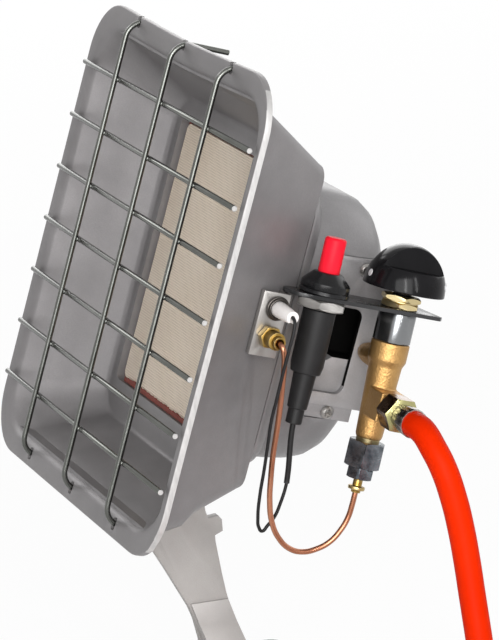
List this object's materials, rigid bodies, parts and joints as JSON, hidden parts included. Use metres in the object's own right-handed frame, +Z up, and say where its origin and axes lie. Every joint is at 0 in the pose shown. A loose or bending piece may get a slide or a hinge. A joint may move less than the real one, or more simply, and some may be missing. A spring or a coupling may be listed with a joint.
{
  "type": "gas radiant heater",
  "caption": "Portable gas heater: a square cast reflector with a wire guard and ceramic burner tile leans back on a stand, with a knob valve, push-button igniter and hose.",
  "frame": {"origin": "middle of the heater's box on the floor under it, cords left out", "axes": "+Z up, the heating face looks to -Y and up, the valve is on +X"},
  "size_m": [0.49, 0.1888, 0.3857],
  "materials": {
    "cast_aluminium": "as cast, satin with fine speckle",
    "stand_aluminium": "as cast, pale and dull",
    "zinc_steel": "bright zinc plate",
    "grey_steel": "grey zinc plate",
    "brass": "turned, slightly dull",
    "yellow_zinc": "pale yellow plate",
    "copper": "drawn copper tube",
    "ceramic_tile": "pressed honeycomb ceramic",
    "gasket_felt": "dark red mineral felt",
    "glazed_ceramic": "white glazed",
    "black_plastic": "black, satin to gloss",
    "matt_black": "matt black",
    "black_steel": "black gloss coat",
    "red_plastic": "red",
    "orange_rubber": "smooth orange, glossy"
  },
  "bodies": {
    "heater": {"reflector": "cast_aluminium", "guard_grille": "zinc_steel", "ceramic_tile": "ceramic_tile", "tile_gasket": "gasket_felt", "burner_housing": "cast_aluminium", "air_intake": "cast_aluminium", "intake_screw_lower": "zinc_steel", "intake_screw_upper": "zinc_steel", "control_plate": "black_steel", "valve_sleeve": "grey_steel", "valve_body": "brass", "valve_panel_nut": "brass", "magnet_adapter": "grey_steel", "thermocouple_gland": "brass", "hose_nut": "yellow_zinc", "hose_ferrule": "zinc_steel", "piezo_body": "matt_black", "piezo_nut": "zinc_steel", "piezo_collar": "black_plastic", "sensor_bracket": "zinc_steel", "electrode_insulator": "glazed_ceramic", "spark_electrode": "grey_steel", "insulator_clip": "grey_steel", "thermocouple_nut": "brass", "thermocouple_tip": "grey_steel", "thermocouple_lead": "copper", "ignition_lead": "black_plastic", "lead_boot": "matt_black", "hose": "orange_rubber", "hose_coil": "orange_rubber", "hose_end_ferrule": "zinc_steel", "hose_end_nut": "brass", "stand": "stand_aluminium", "stand_bolt_front": "zinc_steel", "stand_nut_front": "zinc_steel", "stand_bolt_rear": "zinc_steel", "stand_nut_rear": "zinc_steel"},
    "driver": {"valve_driver": "grey_steel", "knob_spring": "grey_steel"},
    "knob": {"valve_knob": "black_plastic", "valve_spindle": "grey_steel"},
    "igniter_button": {"piezo_button": "red_plastic"}
  },
  "joints": [
    {"name": "knob_turn", "type": "hinge", "parent": "heater", "child": "driver", "pos_m": [0.08427, 0.06217, 0.25209], "axis": [-0.0628, 0.2726, 0.9601], "range_deg": [0, 180]},
    {"name": "knob_push", "type": "slide", "parent": "driver", "child": "knob", "axis": [0.0628, -0.2726, -0.9601], "range_m": [0, 0.0048], "stiffness_N_per_m": 1500, "springref_m": -0.004, "deforming": ["knob_spring"]},
    {"name": "piezo_press", "type": "slide", "parent": "heater", "child": "igniter_button", "axis": [0.0628, -0.2726, -0.9601], "range_m": [0, 0.007], "stiffness_N_per_m": 1500, "springref_m": -0.003}
  ]
}
